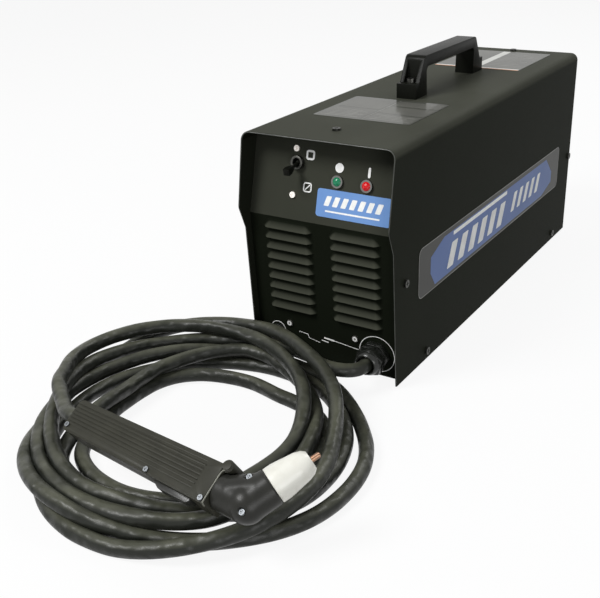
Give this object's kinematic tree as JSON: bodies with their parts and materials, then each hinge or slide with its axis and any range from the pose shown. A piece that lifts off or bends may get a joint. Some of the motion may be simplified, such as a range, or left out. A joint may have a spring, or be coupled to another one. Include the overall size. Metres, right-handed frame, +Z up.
{
  "type": "plasma cutter",
  "caption": "Inverter plasma cutter in a sheet metal case with a built-in air compressor, a carry handle, and a torch that lies on its coiled lead.",
  "frame": {"origin": "on the floor under the middle of the case, between its side walls and halfway along them", "axes": "+X to the right-hand side seen from the front, +Y to the rear of the case, +Z up"},
  "size_m": [0.3435, 0.8484, 0.2821],
  "materials": {
    "powder": "black olive powder coat",
    "black_plastic": "satin",
    "torch_plastic": "finely ribbed, satin",
    "head_plastic": "satin",
    "rubber": "matte",
    "cord_jacket": "matte, slightly waxy",
    "zinc_steel": "zinc plated",
    "dark_steel": "black oxide",
    "aluminium": "satin",
    "black_aluminium": "anodised",
    "brass": "satin",
    "copper": "bright copper",
    "ceramic": "white ceramic, satin",
    "green_lens": "tinted, glossy",
    "red_lens": "tinted, glossy",
    "blue_film": "printed film",
    "dark_film": "printed film",
    "clear_film": "glossy film",
    "green_board": "solder mask",
    "blue_sleeve": "shrink sleeve",
    "blue_hose": "smooth"
  },
  "bodies": {
    "case": {"base_pan": "powder", "rubber_feet": "rubber", "front_panel": "powder", "rear_panel": "powder", "cover": "powder", "cover_screws": "dark_steel", "carry_handle": "black_plastic", "handle_bolts": "dark_steel", "switch_body": "black_plastic", "switch_collar": "dark_steel", "switch_screws": "zinc_steel", "lamp_bezels": "aluminium", "green_lens": "green_lens", "red_lens": "red_lens", "front_label": "blue_film", "side_labels": "dark_film", "top_label_front": "clear_film", "top_label_rear": "clear_film", "torch_gland": "black_plastic", "work_gland": "black_plastic", "gland_locknuts": "black_plastic", "panel_rivets": "zinc_steel", "torch_lead": "cord_jacket", "torch_lead_coil": "cord_jacket", "torch_lead_tail": "cord_jacket", "torch_shell_upper": "torch_plastic", "torch_shell_lower": "torch_plastic", "torch_screws": "zinc_steel", "trigger_pin": "zinc_steel", "trigger_switch": "head_plastic", "torch_head": "head_plastic", "torch_tip": "copper", "electrode": "copper", "compressor_plate": "zinc_steel", "compressor_mounts": "rubber", "compressor_motor": "black_aluminium", "compressor_pump": "aluminium", "cylinder_head": "aluminium", "fan_frame": "black_plastic", "fan_guard": "zinc_steel", "fan_screws": "dark_steel", "divider_plate": "aluminium", "heat_sink": "black_aluminium", "main_board": "green_board", "capacitors": "blue_sleeve", "main_transformer": "dark_steel", "output_choke": "copper", "control_board": "green_board", "gas_valve": "brass", "outlet_pipe": "brass", "air_hose": "blue_hose", "mains_gland": "black_plastic"},
    "lever": {"switch_lever": "black_plastic"},
    "trigger": {"torch_trigger": "torch_plastic"},
    "cup": {"shield_cup": "ceramic"},
    "motor_rotor": {"motor_fan": "aluminium"},
    "fan_wheel": {"fan_rotor": "black_plastic"}
  },
  "joints": [
    {"name": "switch_throw", "type": "hinge", "parent": "case", "child": "lever", "pos_m": [-0.03, -0.24036, 0.21063], "axis": [-1, 0, 0], "range_deg": [0, 50]},
    {"name": "trigger_press", "type": "hinge", "parent": "case", "child": "trigger", "pos_m": [0.02482, -0.52882, 0.04299], "axis": [-0.0701, -0.5548, 0.829], "range_deg": [0, 6], "stiffness_Nm_per_rad": 0.4, "springref_deg": -5.73},
    {"name": "cup_turn", "type": "hinge", "parent": "case", "child": "cup", "pos_m": [0.1023, -0.52753, 0.05039], "axis": [0.5344, 0.7324, 0.422], "range_deg": [0, 180]},
    {"name": "motor_spin", "type": "hinge", "parent": "case", "child": "motor_rotor", "pos_m": [-0.036, 0.12, 0.0543], "axis": [0, 1, 0], "continuous": true},
    {"name": "fan_spin", "type": "hinge", "parent": "case", "child": "fan_wheel", "pos_m": [0, 0.2195, 0.15], "axis": [0, 1, 0], "continuous": true}
  ]
}
